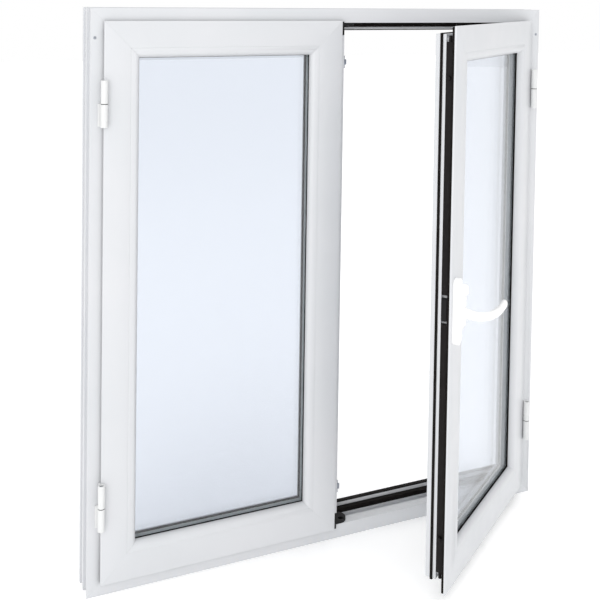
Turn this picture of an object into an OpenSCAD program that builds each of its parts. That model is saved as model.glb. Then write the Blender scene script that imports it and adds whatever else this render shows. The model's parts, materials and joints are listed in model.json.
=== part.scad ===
// Inward-opening two-sash aluminium casement window with a cremone handle.
// Frame: +X right, +Y towards the outside, +Z up, the room on the -Y side.
// Origin: middle of the sill's underside, in width and in the frame's depth.
// A member's section is drawn in u (in from its outer edge) and y (in from its room face).

/* [Window] */
// Overall width of the outer frame
window_w = 1110; // [900:5:1800]
// Overall height of the outer frame
window_h = 1200; // [900:5:1800]
// Middle of the gap between the two sashes, right of the window's centre line
meeting_x = 8.5; // [-60:0.5:60]
// Gap between the two sashes' edges
meeting_gap = 5; // [4:0.5:7]
// How far the right sash stands open as drawn
open_angle = 35; // [0:1:95]

/* [Profiles] */
// Wall thickness of every aluminium profile
wall = 1.8; // [1.4:0.1:2.2]
// Depth of the outer frame, room face to outside face
frame_depth = 68; // [66:0.5:84]
// Height of the frame's flat ledge above its outer edge
ledge_h = 31; // [30:0.5:42]
// Height of the frame's outside leaf above its outer edge
leaf_h = 48; // [45:0.5:60]
// Thickness of the frame's outside leaf
leaf_t = 15; // [14:0.5:18]
// How far the sash flange laps the frame's ledge
lap = 5; // [4:0.5:8]
// How far the sash face stands proud of the frame face
proud = 10; // [9:0.5:14]
// Hardware gap between the frame's ledge and the sash body
hardware_gap = 12; // [11:0.5:14]
// Width of a sash member from its edge to the glazing bead's seat
sash_face_w = 55; // [54:1:70]
// Depth of a sash, room face to outside face
sash_depth = 50; // [50:0.5:58]
// Thickness of the sash's room-side flange
flange_t = 4; // [3.5:0.1:5]

/* [Glazing] */
// Thickness of each glass pane
pane_t = 4; // [3:1:6]
// Gap between the panes
pane_gap = 16; // [12:1:16]
// Width of a glazing bead across its face
bead_w = 20; // [16:1:26]
// Depth of a glazing bead from its face to its gasket
bead_d = 13.5; // [12:0.5:14]
// Thickness of the gasket between a bead and the glass
bead_gasket_t = 3.5; // [3:0.25:4]
// Gap under the glass where the setting blocks stand
block_h = 5; // [4:0.5:7]

/* [Hinges] */
// Length of a hinge barrel, both knuckles
hinge_len = 94; // [80:2:130]
// Diameter of a hinge barrel
barrel_d = 14.5; // [13:0.5:16]
// Diameter of a hinge pin
pin_d = 7; // [6:0.5:8]
// Hinge centre from the nearer end of the frame
hinge_inset = 191; // [150:1:260]

/* [Handle] */
// Length of the handle's housing
housing_len = 136; // [124:2:160]
// Width of the handle's housing
housing_w = 28; // [28:0.5:32]
// Length of the lever from its axis to its tip
lever_len = 116; // [100:2:150]
// Width of the lever's grip
grip_w = 20; // [18:1:26]
// Distance from the sash face to the middle of the grip
grip_off = 71; // [60:1:78]
// Pitch radius of the pinion that drives the rods
pinion_r = 8; // [7:0.25:8.25]

/* [Hidden] */
$fn = 48;

white = [0.93, 0.94, 0.94];
black = [0.08, 0.08, 0.09];
bare_metal = [0.72, 0.73, 0.74];
glass_blue = [0.85, 0.9, 0.97, 0.4];

fit = 0.2;               // sliding clearance
touch = 0.05;            // clearance between a round pin and its bore
eps = 0.5;               // how far a cut runs past the face it opens

// Outer frame section
wing_t = 3;              // room-side wing
back_1 = 5;              // depth of the wall-side channel behind the wing
back_2 = 3;              // depth of the wall-side channel behind the leaf
rib_t = 6;               // rib between the two channels, in the middle of the depth
rib_y = (frame_depth - rib_t) / 2;
rear_t = 10;             // rear flange
leaf_y = frame_depth - leaf_t;
keeper_y = 31.5;         // middle of the keeper groove
groove_open = 15;        // hardware groove: opening, inner width, lip and depth
groove_in = 20;
groove_lip = 2;
groove_deep = 8;
seal_y = leaf_y - 5;     // middle of the centre gasket's slot
slot_open = 4;           // gasket slot: opening, inner width, lip and depth
slot_in = 7;
slot_lip = 1.2;
slot_deep = 4.5;
web_y = keeper_y - groove_in / 2 - wall;
tip_seal_t = 2;
gasket_h = hardware_gap - 1;
gasket_clear = 0.3;                     // sash body to the centre gasket
gasket_y = sash_depth - proud + gasket_clear;    // room side of the centre gasket
frame_cleat_leg = 55;

// Sash section
reveal = ledge_h - lap;                 // frame face left in view round a sash
body_s = lap + hardware_gap;            // sash edge to sash body
rod_t = 20;                             // depth of the hardware groove's middle
leg_t = 6;                              // outside leg behind the glass
leg_y = sash_depth - leg_t;
glass_y = bead_d + bead_gasket_t;
unit_t = 2 * pane_t + pane_gap;
sight_s = sash_face_w + bead_w;
glass_s = sash_face_w + block_h;
leg_s = sight_s - 2;
spacer_w = 7;
sealant_w = 5;
tongue_t = 2.6;                         // bead tongue and its slot
tongue_y = 5;
tongue_deep = 2.5;
bead_gap = 0.1;                         // joint between two beads at a corner
side_seal_t = sash_depth - 13;          // middle of the side gasket's slot
lap_seal_s = 5.5;                       // middle of the lap seal's slot
lap_slot = 2.6;                         // depth of the lap seal's slot, its opening and its inner width
lap_open = 3;
lap_in = 5;
lap_lip = 1;
lap_bulb = 3.5;                         // half the width of the lap seal's bulb
gasket_w = 9;                           // glazing gasket's width and its lip past the profile's edge
gasket_lip = 0.8;
block_len = 80;                         // setting block's length
sash_cleat_leg = 45;

passive_w = window_w / 2 - reveal + meeting_x - meeting_gap / 2;
active_w = window_w / 2 - reveal - meeting_x - meeting_gap / 2;
sash_h = window_h - 2 * reveal;
passive_x = -window_w / 2 + reveal;
active_x = meeting_x + meeting_gap / 2;

// Hinges: the pin stands in front of the sash face, just outside the sash edge
face_y = -frame_depth / 2;              // room face of the outer frame
pin_out = 1;
pin_clear = 0.25;
pin_stand = proud + barrel_d / 2 + pin_clear;   // pin to the frame's room face
pin_x = window_w / 2 - reveal + pin_out;
pin_y = face_y - pin_stand;
washer_t = 1.2;
washer_d = barrel_d - 0.4;
bush_t = 1;
knuckle = (hinge_len - washer_t) / 2;
arm_t = 3;                              // sash leaf's plate
web_w = 4;                              // leaf's web behind the barrel
pin_recess = 3;
foot_w = 9;                             // frame leaf's foot
foot_t = 2.5;
stud_d = 5;
stud_tail = 2;                          // stud past the inside of the wall
stud_u = foot_w / 2 + 1.5;

// Handle, racks and rods, in the sash's own coordinates
axis_s = 24;                            // lever axis from the free edge
axis_z = sash_h / 2;
housing_t = 12;                         // housing's base and its boss over the sash face
boss_t = 26;
boss_from = -20;                        // foot of the boss from the lever axis
boss_top = 10;                          // housing's end to the boss's
housing_screw_z = 62;
screw_deep = 9;                         // housing screw's depth in the housing
screw_d = 4;
screw_head_t = 2.5;
rod_gap = 0.3;
travel = pinion_r * 90 * PI / 180;      // a quarter turn rolled out
drive_pin_d = 4;
drive_pin_s = body_s + (groove_lip + groove_deep) / 2;
slot_gap = 0.5;                         // room round a drive pin in its slot
drive_pin_z = 36;                       // drive pins above and below the lever axis
drive_pin_short = 2;                    // drive pin's end to the groove's middle
rod_mid = groove_deep / 2;              // rod tip from the sash body's edge
rod_end = 20;                           // retracted rod tip above the sash edge
rod_foot = rod_end + 13;                // where the rod's full section starts
rod_inner = drive_pin_z - 6;            // rod's inner end from the lever axis
tip_d = 6.4;
cam_z = 105;                            // locking cam above the sash edge
cam_d = 9;
cam_h = 8;
cam_gap = 1.5;                          // cam to the hook that it slides behind
guide_len = 45;
guide_h = 4;
guide_w = 11;

// Astragal, flush bolts and keepers
astragal_x = active_x + lap;            // ledge that the astragal turns to the right sash
astragal_deep = lap + meeting_gap + body_s;      // sash body to ledge
astragal_end = leaf_h + tip_seal_t + 8; // frame edge to either end
keeper_t = 7;
keeper_w = 86;
keeper_y0 = 1;
keeper_clear = 1.3;                     // keeper to the centre gasket
keeper_y1 = gasket_y - keeper_clear;
keeper_end = 10;                        // plate past the rod's pocket
keeper_foot_in = 4;                     // plate's end to its foot in the groove
pocket = 11;
pocket_deep = 5.5;
rod_x = active_x + body_s + rod_mid;    // closed place of the right sash's rods
bolt_x = astragal_x - groove_deep / 2;  // place of the left sash's flush bolts
keeper_x0 = rod_x + pocket / 2 + keeper_end - keeper_w;
cap_gap = 0.3;
cap_base = ledge_h + keeper_t + cap_gap;
bolt_tip_z = ledge_h + keeper_t + 8;    // withdrawn tip of a flush bolt
bolt_tip_len = 20;
bolt_lap = 4;                           // tip's root inside the bar
bolt_len = 170;
pad_len = 50;                           // flush bolt's pad and the thumb recess in it
thumb_d = 11;
thumb_deep = 1.5;

// ---- sections -------------------------------------------------------------

// Undercut slot that opens at u = face and runs towards smaller u
module slot_2d(face, mid, open, inner, lip, deep) {
  translate([face - lip - eps / 10, mid - open / 2]) square([lip + eps, open]);
  translate([face - deep, mid - inner / 2]) square([deep - lip, inner]);
}

module frame_2d() difference() {
  polygon([
    [0, 0], [ledge_h, 0], [ledge_h, leaf_y], [leaf_h, leaf_y], [leaf_h, frame_depth],
    [0, frame_depth], [0, frame_depth - rear_t], [back_2, frame_depth - rear_t],
    [back_2, rib_y + rib_t], [0, rib_y + rib_t], [0, rib_y], [back_1, rib_y],
    [back_1, wing_t], [0, wing_t]
  ]);
  slot_2d(ledge_h, keeper_y, groove_open, groove_in, groove_lip, groove_deep);
  slot_2d(ledge_h, seal_y, slot_open, slot_in, slot_lip, slot_deep);
  slot_2d(leaf_h, leaf_y + leaf_t / 2, slot_open, slot_in, slot_lip, slot_deep);
  translate([back_1 + wall, wall]) square([ledge_h - back_1 - 2 * wall, web_y - wall]);
  translate([back_1 + wall, web_y + wall])
    square([ledge_h - groove_deep - back_1 - 2 * wall, seal_y - slot_in / 2 - web_y - 2 * wall]);
  translate([back_1 + wall, seal_y - slot_in / 2])
    square([ledge_h - slot_deep - back_1 - 2 * wall, frame_depth - wall - seal_y + slot_in / 2]);
  translate([back_1 + wall, leaf_y + wall])
    square([leaf_h - slot_deep - back_1 - 2 * wall, leaf_t - 2 * wall]);
}

module sash_2d() difference() {
  polygon([
    [0, 0], [sash_face_w, 0], [sash_face_w, leg_y], [leg_s, leg_y], [leg_s, sash_depth],
    [body_s, sash_depth], [body_s, flange_t], [0, flange_t]
  ]);
  translate([sash_face_w - tongue_deep, tongue_y]) square([tongue_deep + eps, tongue_t + 2 * fit]);
  mirror([1, 0]) translate([-2 * body_s, 0])
    slot_2d(body_s, rod_t, groove_open, groove_in, groove_lip, groove_deep);
  mirror([1, 0]) translate([-2 * body_s, 0])
    slot_2d(body_s, side_seal_t, slot_open, slot_in, slot_lip, slot_deep);
  translate([lap_seal_s - lap_open / 2, flange_t - lap_slot]) square([lap_open, lap_slot + eps]);
  translate([lap_seal_s - lap_in / 2, flange_t - lap_slot]) square([lap_in, lap_slot - lap_lip]);
  translate([body_s + wall, wall]) square([groove_deep - wall, rod_t - groove_in / 2 - 2 * wall]);
  for (y = [[wall, rod_t], [rod_t + wall, leg_y - wall]])
    translate([body_s + groove_deep + wall, y[0]])
      square([sash_face_w - tongue_deep - body_s - groove_deep - 2 * wall, y[1] - y[0]]);
  translate([body_s + slot_deep + 2 * wall, leg_y + wall])
    square([leg_s - body_s - slot_deep - 3 * wall, leg_t - 2 * wall]);
}

// Quarter disc that rounds a bead's inner edge, its centre at u = mid
module bead_round_2d(mid, edge_r, r) intersection() {
  translate([mid, edge_r]) circle(r);
  translate([mid, edge_r - r]) square(r);
}

// Rounded glazing bead with a tongue that clips into the sash
module bead_2d() {
  edge_r = bead_d - 0.5;
  mid = sight_s - edge_r;
  difference() {
    union() {
      translate([sash_face_w, 0]) square([mid - sash_face_w, bead_d]);
      bead_round_2d(mid, edge_r, edge_r);
      translate([mid, edge_r]) square([edge_r, bead_d - edge_r]);
      translate([sash_face_w - tongue_deep + fit, tongue_y + fit]) square([tongue_deep - fit, tongue_t]);
    }
    translate([sash_face_w + wall, wall]) square([mid - sash_face_w - wall, bead_d - 2 * wall]);
    difference() {
      bead_round_2d(mid, edge_r, edge_r - wall);
      translate([mid, bead_d - wall]) square(edge_r);
    }
  }
}

// ---- members and rings ----------------------------------------------------

// Stretches a section to a member of length len with 45 degree mitres, each held back by gap
module mitred(len, deep, y_to, gap = 0) intersection() {
  linear_extrude(len) children();
  translate([0, y_to + eps, 0]) rotate([90, 0, 0]) linear_extrude(y_to + 2 * eps)
    polygon([[0, gap], [deep, deep + gap], [deep, len - deep - gap], [0, len - gap]]);
}

// Puts a member drawn up the left side on one of the four sides of a w by h rectangle
module side_right(w) translate([w, 0, 0]) mirror([1, 0, 0]) children();
module side_bottom() mirror([1, 0, -1]) children();
module side_top(h) translate([0, 0, h]) mirror([0, 0, 1]) mirror([1, 0, -1]) children();

// Rectangular ring between the insets s_from and s_to
module ring(w, h, s_from, s_to, y_from, y_to) difference() {
  translate([s_from, y_from, s_from]) cube([w - 2 * s_from, y_to - y_from, h - 2 * s_from]);
  translate([s_to, y_from - eps, s_to]) cube([w - 2 * s_to, y_to - y_from + 2 * eps, h - 2 * s_to]);
}

module on_face() translate([0, face_y, 0]) children();
module in_frame() translate([-window_w / 2, face_y, 0]) children();
module in_left() translate([passive_x, face_y - proud, reveal]) children();
module swung() translate([pin_x, pin_y, 0]) rotate([0, 0, open_angle])
  translate([-pin_x, -pin_y, 0]) children();
module in_right() swung() translate([active_x, face_y - proud, reveal]) children();

module frame_member(len) mitred(len, leaf_h, frame_depth) frame_2d();
module sash_member(len) mitred(len, leg_s, sash_depth) sash_2d();
module bead_member(len) mitred(len, sight_s, bead_d, bead_gap) bead_2d();

// L-shaped corner block that fills one chamber at all four corners
module corner_cleats(w, h, s_from, s_to, y_from, y_to, leg) for (mx = [0, 1], mz = [0, 1])
  translate([mx * w, 0, mz * h]) mirror([mx, 0, 0]) mirror([0, 0, mz]) difference() {
    translate([s_from, y_from, s_from]) cube([s_to - s_from + leg, y_to - y_from, s_to - s_from + leg]);
    translate([s_to, y_from - eps, s_to]) cube([leg + eps, y_to - y_from + 2 * eps, leg + eps]);
  }

// ---- outer frame ----------------------------------------------------------

fix_holes_z = [hinge_inset, window_h / 2, window_h - hinge_inset];
fix_hole_d = 7.5;
fix_y = (wall + web_y) / 2;
fix_head_d = 13;
drain_x = window_w / 4;
drain_w = 26;
drain_h = 5;
drain_z = 12;
cap_wall = 3;
cap_out = 5;
// Fixing holes through a jamb: a clearance hole to the wall and an access hole in the ledge
module jamb_holes() for (z = fix_holes_z) translate([0, fix_y, z]) rotate([0, 90, 0]) {
  cylinder(h = ledge_h + eps, d = fix_hole_d);
  translate([0, 0, back_1 + wall + eps]) cylinder(h = ledge_h, d = fix_head_d);
}
// Stud holes for a hinge's frame leaf, through the room-side wall
module stud_holes(side) for (c = [hinge_inset, window_h - hinge_inset], dz = [-1, 1])
  translate([side * (pin_x + stud_u), face_y - eps, c - knuckle / 2 + dz * knuckle / 4 - washer_t / 2])
    rotate([-90, 0, 0]) cylinder(h = wall + 2 * eps, d = stud_d + 2 * touch);
screw_u = 9;                            // cleat screw from the frame's edge and below its top
screw_z = 60;
cleat_screw_d = 3.9;
cleat_screw_len = 11;
cleat_head_d = 6.5;
cleat_head_t = 0.6;

module at_cleat_screws() in_frame() for (x = [screw_u, window_w - screw_u])
  translate([x, 0, window_h - screw_z]) rotate([-90, 0, 0]) children();
module cleat_screw_hole() at_cleat_screws()
  translate([0, 0, -eps]) cylinder(h = wall + 2 * eps, d = cleat_screw_d + 2 * touch);

module frame_head() color(white) in_frame() side_top(window_h) frame_member(window_w);
module frame_sill() color(white) difference() {
  in_frame() side_bottom() frame_member(window_w);
  on_face() for (x = [-drain_x, drain_x]) translate([x - drain_w / 2, frame_depth - wall - eps, drain_z])
    cube([drain_w, wall + 2 * eps, drain_h]);
}
module frame_left_jamb() color(white) difference() {
  in_frame() frame_member(window_h);
  in_frame() jamb_holes();
  cleat_screw_hole();
  stud_holes(-1);
}
module frame_right_jamb() color(white) difference() {
  in_frame() side_right(window_w) frame_member(window_h);
  in_frame() side_right(window_w) jamb_holes();
  cleat_screw_hole();
  stud_holes(1);
}
module frame_corner_cleats() color(bare_metal) difference() {
  in_frame() corner_cleats(window_w, window_h, back_1 + wall, ledge_h - wall, wall, web_y, frame_cleat_leg);
  at_cleat_screws() cylinder(h = web_y, d = cleat_screw_d + 2 * touch);
}
module frame_cleat_screws() color(bare_metal) at_cleat_screws() {
  translate([0, 0, -cleat_head_t]) cylinder(h = cleat_head_t, d = cleat_head_d);
  cylinder(h = cleat_screw_len, d = cleat_screw_d);
}
// Foot of a gasket, which fills the slot that opens at the inset s
module gasket_foot(w, h, s, mid) {
  ring(w, h, s - slot_deep, s - slot_lip, mid - slot_in / 2, mid + slot_in / 2);
  ring(w, h, s - slot_lip, s, mid - slot_open / 2, mid + slot_open / 2);
}
module frame_centre_gasket() color(black) in_frame() {
  gasket_foot(window_w, window_h, ledge_h, seal_y);
  ring(window_w, window_h, ledge_h, ledge_h + gasket_h, gasket_y, leaf_y);
}
module frame_leaf_seal() color(black) in_frame() {
  ring(window_w, window_h, leaf_h, leaf_h + tip_seal_t, leaf_y + 2, frame_depth - 0.5);
  gasket_foot(window_w, window_h, leaf_h, leaf_y + leaf_t / 2);
}
module drain_caps() color(white) on_face() for (x = [-drain_x, drain_x]) {
  translate([x - drain_w / 2 - cap_wall, frame_depth, drain_z - cap_wall]) difference() {
    cube([drain_w + 2 * cap_wall, cap_out, drain_h + 2 * cap_wall]);
    translate([cap_wall, -eps, -eps]) cube([drain_w, cap_out / 2 + eps, drain_h + cap_wall + eps]);
  }
}

// Keeper plate in the ledge's groove at the meeting point, with one pocket for each bolt
module bolt_keeper() difference() {
  round_r = (keeper_y1 - keeper_y0) / 2;
  union() {
    translate([keeper_x0, keeper_y0, ledge_h]) {
      cube([keeper_w - round_r, 2 * round_r, keeper_t]);
      translate([keeper_w - round_r, round_r, 0]) cylinder(h = keeper_t, r = round_r);
    }
    translate([keeper_x0 + keeper_foot_in, keeper_y - groove_open / 2 + fit, ledge_h - groove_lip])
      cube([keeper_w - 2 * round_r, groove_open - 2 * fit, groove_lip]);
  }
  for (at = [[rod_x, rod_t - proud], [bolt_x, keeper_y]])
    translate([at[0] - pocket / 2, at[1] - pocket / 2, ledge_h + keeper_t - pocket_deep])
      cube([pocket, pocket, pocket_deep + eps]);
}
module bolt_keepers() color(black) {
  on_face() bolt_keeper();
  head_end() on_face() bolt_keeper();
}
// Repeats at the head what is drawn at the sill
module head_end() translate([0, 0, window_h]) mirror([0, 0, 1]) children();

// ---- sashes ---------------------------------------------------------------

module sash_cleats(w) corner_cleats(w, sash_h, body_s + groove_deep + wall, sash_face_w - tongue_deep - wall,
  wall, rod_t, sash_cleat_leg);
module beads(w) {
  bead_member(sash_h);
  side_right(w) bead_member(sash_h);
  side_bottom() bead_member(w);
  side_top(sash_h) bead_member(w);
}
module pane(w, y) translate([glass_s, y, glass_s]) cube([w - 2 * glass_s, pane_t, sash_h - 2 * glass_s]);
module spacer(w) translate([0, glass_y + pane_t, 0])
  ring(w, sash_h, glass_s + sealant_w, glass_s + sealant_w + spacer_w, 0, pane_gap);
module bead_gasket(w) ring(w, sash_h, sight_s - gasket_w, sight_s + gasket_lip, bead_d, glass_y);
module outer_gasket(w) ring(w, sash_h, leg_s - gasket_w, leg_s + gasket_lip, glass_y + unit_t, leg_y);
module weather_seals(w) {
  ring(w, sash_h, lap_seal_s - lap_in / 2, lap_seal_s + lap_in / 2, flange_t - lap_slot, flange_t - lap_lip);
  ring(w, sash_h, lap_seal_s - lap_open / 2, lap_seal_s + lap_open / 2, flange_t - lap_lip, flange_t);
  ring(w, sash_h, lap_seal_s - lap_bulb, lap_seal_s + lap_bulb, flange_t, proud - rod_gap);
  translate([0, side_seal_t, 0]) {
    ring(w, sash_h, body_s + slot_lip, body_s + slot_deep, -slot_in / 2, slot_in / 2);
    ring(w, sash_h, body_s, body_s + slot_lip, -slot_open / 2, slot_open / 2);
    ring(w, sash_h, body_s - tip_seal_t, body_s, -slot_open / 2 - 1, slot_open / 2 + 1);
  }
}
// Room in the lap seal for the plates of the hinges' sash leaves
module hinge_gaps(x) for (z = [hinge_inset, window_h - hinge_inset])
  translate([x, flange_t, z - reveal]) cube([body_s, proud - flange_t, hinge_len / 2 + fit]);
module setting_blocks(w) for (x = [w / 4, 3 * w / 4], z = [sash_face_w, sash_h - glass_s])
  translate([x - block_len / 2, glass_y, z]) cube([block_len, unit_t, block_h]);

module left_top_rail() color(white) in_left() side_top(sash_h) sash_member(passive_w);
module left_bottom_rail() color(white) in_left() side_bottom() sash_member(passive_w);
module left_hinge_stile() color(white) in_left() sash_member(sash_h);
module left_meeting_stile() color(white) in_left() side_right(passive_w) sash_member(sash_h);
module left_corner_cleats() color(bare_metal) in_left() sash_cleats(passive_w);
module left_beads() color(white) in_left() beads(passive_w);
module left_inner_pane() color(glass_blue) in_left() pane(passive_w, glass_y);
module left_outer_pane() color(glass_blue) in_left() pane(passive_w, glass_y + pane_t + pane_gap);
module left_spacer() color(bare_metal) in_left() spacer(passive_w);
module left_bead_gasket() color(black) in_left() bead_gasket(passive_w);
module left_outer_gasket() color(black) in_left() outer_gasket(passive_w);
module left_weather_seals() color(black) in_left() difference() {
  weather_seals(passive_w);
  hinge_gaps(0);
  translate([passive_w - body_s, proud, 0]) cube([body_s, sash_depth, sash_h]);
}
module left_setting_blocks() color(black) in_left() setting_blocks(passive_w);

module right_top_rail() color(white) in_right() side_top(sash_h) sash_member(active_w);
module right_bottom_rail() color(white) in_right() side_bottom() sash_member(active_w);
module right_hinge_stile() color(white) in_right() side_right(active_w) sash_member(sash_h);
module right_meeting_stile() color(white) in_right() difference() {
  sash_member(sash_h);
  drive_slots();
  housing_screw_holes();
}
module right_corner_cleats() color(bare_metal) in_right() sash_cleats(active_w);
module right_beads() color(white) in_right() beads(active_w);
module right_inner_pane() color(glass_blue) in_right() pane(active_w, glass_y);
module right_outer_pane() color(glass_blue) in_right() pane(active_w, glass_y + pane_t + pane_gap);
module right_spacer() color(bare_metal) in_right() spacer(active_w);
module right_bead_gasket() color(black) in_right() bead_gasket(active_w);
module right_outer_gasket() color(black) in_right() outer_gasket(active_w);
module right_weather_seals() color(black) in_right() difference() {
  weather_seals(active_w);
  hinge_gaps(active_w - body_s);
}
module right_setting_blocks() color(black) in_right() setting_blocks(active_w);

// ---- astragal on the left sash's meeting stile ------------------------------

// Its section, drawn from the sash body at u = 0 to the ledge at u = astragal_deep
module astragal_2d() difference() {
  polygon([
    [0, 0], [astragal_deep, 0], [astragal_deep, leaf_y], [astragal_deep + leaf_h - ledge_h, leaf_y],
    [astragal_deep + leaf_h - ledge_h, frame_depth], [0, frame_depth]
  ]);
  astragal_slots();
  translate([wall, wall]) square([astragal_deep - 2 * wall, web_y - wall]);
  translate([wall, web_y + wall])
    square([astragal_deep - groove_deep - 2 * wall, frame_depth - web_y - 2 * wall]);
  translate([wall, leaf_y + wall]) square([astragal_deep + leaf_h - ledge_h - 2 * wall, leaf_t - 2 * wall]);
}
module astragal_slots() {
  slot_2d(astragal_deep, keeper_y, groove_open, groove_in, groove_lip, groove_deep);
  slot_2d(astragal_deep, seal_y, slot_open, slot_in, slot_lip, slot_deep);
}
module on_astragal() translate([astragal_x - astragal_deep, face_y, astragal_end]) children();

module astragal() color(white) on_astragal() linear_extrude(window_h - 2 * astragal_end) astragal_2d();
module astragal_gasket() color(black) on_astragal() linear_extrude(window_h - 2 * astragal_end) {
  translate([astragal_deep - slot_deep, seal_y - slot_in / 2]) square([slot_deep - slot_lip, slot_in]);
  translate([astragal_deep - slot_lip, seal_y - slot_open / 2]) square([slot_lip, slot_open]);
  translate([astragal_deep, gasket_y]) square([gasket_h, leaf_y - gasket_y]);
}
// Cap that fills the astragal's end, with a nose in the gap between the sashes
module end_cap() {
  nose_gap = 0.5;
  nose_from = reveal + 2;
  nose_x = active_x - meeting_gap + nose_gap;
  nose_w = meeting_gap - 2 * nose_gap;
  translate([astragal_x - astragal_deep, 0, cap_base]) linear_extrude(astragal_end - cap_base) difference() {
    square([astragal_deep, sash_depth - proud]);
    slot_2d(astragal_deep, keeper_y, groove_open, groove_in, groove_lip, groove_deep);
  }
  translate([nose_x, -proud + nose_gap, nose_from])
    cube([nose_w, proud - nose_gap - cap_gap, astragal_end - nose_from]);
  translate([nose_x, -cap_gap, cap_base]) cube([nose_w, cap_gap, astragal_end - cap_base]);
}
module astragal_end_caps() color(black) {
  on_face() end_cap();
  head_end() on_face() end_cap();
}
// Hook that a locking cam of the right sash slides behind
module cam_keeper(z) translate([astragal_x, 0, z]) {
  plate_t = 2.5;
  plate_h = 28;
  plate_w = keeper_y + 6;
  hook_h = 12;
  hook_t = 4;
  hook_w = rod_t - proud - cam_d / 2 - cam_gap - keeper_y0;
  translate([0, keeper_y0, -plate_h / 2]) cube([plate_t, plate_w, plate_h]);
  translate([plate_t, keeper_y0, -hook_h / 2]) cube([hook_t, hook_w, hook_h]);
  translate([-groove_lip, keeper_y - groove_open / 2 + fit, -plate_h / 2])
    cube([groove_lip, groove_open - 2 * fit, plate_h]);
}
module astragal_keepers() color(black) on_face() {
  cam_keeper(reveal + cam_z - travel);
  cam_keeper(window_h - reveal - cam_z + travel);
}
// Flush bolt that slides in the astragal's groove, with a pad for the thumb
module flush_bolt() difference() {
  pad_from = bolt_tip_z + bolt_tip_len - bolt_lap + bolt_len - pad_len;
  flush_bolt_body(bolt_tip_z + bolt_tip_len - bolt_lap, pad_from);
  translate([astragal_x - rod_gap - thumb_deep, keeper_y, pad_from + pad_len / 2])
    rotate([0, 90, 0]) cylinder(h = thumb_deep + eps, d = thumb_d);
}
module flush_bolt_body(bar_from, pad_from) {
  translate([bolt_x, keeper_y, bolt_tip_z]) cylinder(h = bolt_tip_len, d = tip_d);
  translate([astragal_x - groove_deep + rod_gap, keeper_y - groove_in / 2 + rod_gap, bar_from])
    cube([groove_deep - groove_lip - 2 * rod_gap, groove_in - 2 * rod_gap, bolt_len]);
  translate([astragal_x - groove_lip - 2 * rod_gap, keeper_y - groove_open / 2 + rod_gap, pad_from])
    cube([groove_lip + rod_gap, groove_open - 2 * rod_gap, pad_len]);
}
module lower_flush_bolt() color(black) on_face() flush_bolt();
module upper_flush_bolt() color(black) head_end() on_face() flush_bolt();

// ---- hinges ----------------------------------------------------------------

// Everything here is drawn for the right-hand side, its pin standing at pin_x
module at_hinges() for (z = [hinge_inset, window_h - hinge_inset]) translate([pin_x, pin_y, z]) children();
module frame_leaf() {
  low = -hinge_len / 2;
  difference() {
    union() {
      translate([0, 0, low]) cylinder(h = knuckle, d = barrel_d);
      translate([pin_out / 2, 0, low]) cube([web_w, pin_stand, knuckle]);
      translate([pin_out / 2, pin_stand - foot_t, low]) cube([foot_w, foot_t, knuckle]);
    }
    translate([0, 0, low - eps]) cylinder(h = knuckle + 2 * eps, d = pin_d);
  }
  for (dz = [-1, 1]) translate([stud_u, pin_stand, low + knuckle / 2 + dz * knuckle / 4])
    rotate([-90, 0, 0]) cylinder(h = wall + stud_tail, d = stud_d);
}
module sash_leaf() {
  back_y = pin_stand - proud + flange_t;   // behind the sash flange
  groove_mid = pin_stand - proud + rod_t;
  difference() {
    union() {
      translate([0, 0, washer_t / 2]) cylinder(h = knuckle, d = barrel_d);
      translate([-pin_out + fit, 0, washer_t / 2]) cube([web_w, back_y + arm_t, knuckle]);
    }
    cylinder(h = hinge_len, d = pin_d + 2 * bush_t);
  }
  translate([-pin_out - body_s, back_y, washer_t / 2]) cube([body_s + fit, arm_t, knuckle]);
  translate([-pin_out - body_s, back_y, washer_t / 2])
    cube([arm_t, groove_mid + groove_open / 2 - fit - back_y, knuckle]);
  translate([-pin_out - body_s - groove_lip, groove_mid - groove_open / 2 + fit, washer_t / 2])
    cube([groove_lip, groove_open - 2 * fit, knuckle]);
}
module pins() at_hinges() translate([0, 0, -hinge_len / 2 + pin_recess])
  cylinder(h = hinge_len - 2 * pin_recess, d = pin_d);
module washers() at_hinges() translate([0, 0, -washer_t / 2]) difference() {
  cylinder(h = washer_t - touch, d = washer_d);
  translate([0, 0, -eps]) cylinder(h = washer_t + 2 * eps, d = pin_d);
}
module bushes() at_hinges() translate([0, 0, washer_t / 2]) difference() {
  cylinder(h = knuckle - pin_recess, d = pin_d + 2 * bush_t);
  translate([0, 0, -eps]) cylinder(h = knuckle + 2 * eps, d = pin_d + 2 * touch);
}
module left_side() mirror([1, 0, 0]) children();

module hinge_pins() color(bare_metal) { pins(); left_side() pins(); }
module hinge_washers() color(black) { washers(); left_side() washers(); }
module right_hinge_frame_leaves() color(white) at_hinges() frame_leaf();
module left_hinge_frame_leaves() color(white) left_side() at_hinges() frame_leaf();
module right_hinge_sash_leaves() color(white) swung() at_hinges() sash_leaf();
module left_hinge_sash_leaves() color(white) left_side() at_hinges() sash_leaf();
module right_hinge_bushes() color(black) swung() bushes();
module left_hinge_bushes() color(black) left_side() bushes();

// ---- handle, racks and rods on the right sash --------------------------------

// Sash coordinates: x from the free edge, y from the room face, z from the sash's foot
shaft_d = 14;                           // lever's shaft, spindle, hub and grip
spindle = 7;
spindle_foot = 1.5;                     // sash face to the spindle's end
hub_d = 25;
hub_t = 8;
grip_t = 14;
neck_len = 20;
shell_t = 1.2;                          // housing's wall at the sides of its pocket
shell_top_t = 1.6;                      // and over it
cavity_w = housing_w - 2 * shell_t;     // pocket in the housing's back for the gear
cavity_len = 2 * (drive_pin_z + travel) + 14;
cavity_d = housing_t - shell_top_t;
teeth = 16;                             // pinion and rack teeth
tooth_h = 0.8;
tooth_w = 1.1;
pitch = 2 * PI * pinion_r / teeth;
gear_y = -8.5;
gear_t = 5;

module in_handle() in_right() translate([axis_s, 0, axis_z]) children();
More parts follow.
